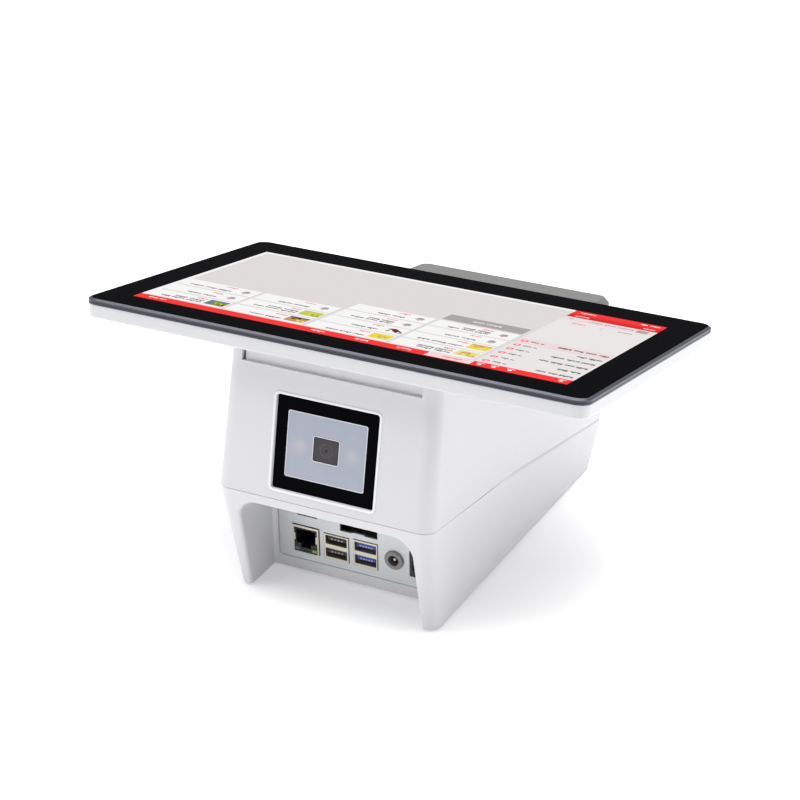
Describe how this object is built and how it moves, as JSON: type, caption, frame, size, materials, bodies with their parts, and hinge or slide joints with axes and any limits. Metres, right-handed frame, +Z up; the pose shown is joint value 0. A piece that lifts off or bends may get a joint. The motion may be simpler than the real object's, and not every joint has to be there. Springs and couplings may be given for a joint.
{
  "type": "self checkout kiosk",
  "caption": "Desktop self checkout terminal: a tilted landscape touch screen on a wedge body with a barcode scanner window, a connector bay and a receipt printer.",
  "frame": {"origin": "middle of the overall box on the surface it stands on", "axes": "+X along the screen's long side, +Y from the scanner side to the printer side, +Z up"},
  "size_m": [0.294, 0.2486, 0.1602],
  "materials": {
    "screen_glass": "polished black-bordered cover glass",
    "bezel": "satin anodised aluminium grey",
    "panel": "dark display module",
    "sheet_metal": "plain sheet steel",
    "shell_white": "fine-textured warm white moulding",
    "cover_grey": "fine-textured grey moulding",
    "screws": "zinc plated",
    "board": "green solder mask",
    "rubber": "soft black rubber",
    "pins": "ground steel",
    "scanner_black": "gloss black",
    "diffuser": "milky light diffuser",
    "lens": "dark smoked window",
    "engine": "black",
    "plate": "satin bead-blasted",
    "jack_black": "black moulding",
    "port_metal": "nickel plated",
    "usb_black": "black",
    "usb_blue": "blue",
    "contacts": "gold plated",
    "jack_ring": "dark nickel",
    "standoff": "plain brass",
    "sink": "plain extruded",
    "speaker": "black",
    "bush": "natural acetal",
    "pinion": "plain brass",
    "motor": "plated can",
    "head": "dark ceramic",
    "platen": "smooth black rubber",
    "paper": null,
    "core": "brown card",
    "spindle": "black moulding",
    "blade": "ground spring steel",
    "button_grey": "fine-textured grey moulding",
    "light": "green light pipe"
  },
  "bodies": {
    "base": {"board_screws": "screws", "board_standoffs": "standoff", "bottom_cover": "shell_white", "case_screws": "screws", "cover_hinge_rod": "pins", "drawer_port": "jack_black", "ethernet_contacts": "contacts", "ethernet_port": "jack_black", "feed_motor": "motor", "fixing_screws": "screws", "heat_sink": "sink", "hinge_base_leaves": "sheet_metal", "hinge_pins": "pins", "hinge_strip": "shell_white", "io_plate": "plate", "lower_shell": "shell_white", "main_board": "board", "motor_bracket": "sheet_metal", "paper_spindle": "spindle", "power_jack": "jack_ring", "power_jack_pin": "port_metal", "print_head": "head", "printer_frame": "sheet_metal", "rubber_feet": "rubber", "scanner_diffuser": "diffuser", "scanner_engine": "engine", "scanner_frame": "shell_white", "scanner_glass": "scanner_black", "scanner_lens": "lens", "screen_bumpers": "rubber", "service_screws": "screws", "speaker": "speaker", "status_light": "light", "tear_bar": "blade", "upper_shell": "shell_white", "usb2_shell": "port_metal", "usb2_tongues": "usb_black", "usb3_shell": "port_metal", "usb3_tongues": "usb_blue"},
    "screen": {"cover_glass": "screen_glass", "screen_bezel": "bezel", "lcd_panel": "panel", "screen_chassis": "sheet_metal", "chassis_screws": "screws", "display_board": "board", "screen_rear_housing": "shell_white", "hinge_screen_leaves": "sheet_metal", "hinge_leaf_screws": "screws"},
    "cover": {"printer_cover": "cover_grey", "platen_bushes": "bush"},
    "platen": {"platen_shaft": "pins", "platen_roller": "platen", "platen_gear": "bush"},
    "idler": {"idler_gear": "bush"},
    "pinion": {"motor_pinion": "pinion"},
    "roll": {"paper_roll": "paper", "paper_core": "core"},
    "release_button": {"release_button": "button_grey"},
    "power_button": {"power_button": "button_grey"},
    "feed_button": {"feed_button": "button_grey"}
  },
  "joints": [
    {"name": "screen_tilt", "type": "hinge", "parent": "base", "child": "screen", "pos_m": [0, -0.10158, 0.14069], "axis": [1, 0, 0], "range_deg": [0, 20]},
    {"name": "printer_cover_hinge", "type": "hinge", "parent": "base", "child": "cover", "pos_m": [0, 0.07726, 0.10685], "axis": [1, 0, 0], "range_deg": [0, 90]},
    {"name": "paper_roll_spin", "type": "hinge", "parent": "base", "child": "roll", "pos_m": [0, 0.08633, 0.06367], "axis": [1, 0, 0], "continuous": true},
    {"name": "platen_spin", "type": "hinge", "parent": "cover", "child": "platen", "pos_m": [0, 0.10934, 0.094], "axis": [1, 0, 0], "continuous": true},
    {"name": "idler_spin", "type": "hinge", "parent": "base", "child": "idler", "pos_m": [0, 0.10588, 0.07699], "axis": [1, 0, 0], "continuous": true},
    {"name": "pinion_spin", "type": "hinge", "parent": "base", "child": "pinion", "pos_m": [0, 0.1029, 0.06234], "axis": [1, 0, 0], "continuous": true},
    {"name": "release_press", "type": "slide", "parent": "base", "child": "release_button", "axis": [1, 0, 0], "range_m": [0, 0.002], "stiffness_N_per_m": 400},
    {"name": "power_press", "type": "slide", "parent": "base", "child": "power_button", "axis": [1, 0, 0], "range_m": [0, 0.0015], "stiffness_N_per_m": 400},
    {"name": "feed_press", "type": "slide", "parent": "base", "child": "feed_button", "axis": [0, -0.9799, 0.1994], "range_m": [0, 0.0015], "stiffness_N_per_m": 400}
  ],
  "couplings": [
    {"joint": "platen_spin", "follows": "paper_roll_spin", "ratio": 4.5},
    {"joint": "idler_spin", "follows": "paper_roll_spin", "ratio": -3.24},
    {"joint": "pinion_spin", "follows": "paper_roll_spin", "ratio": 6.75}
  ]
}
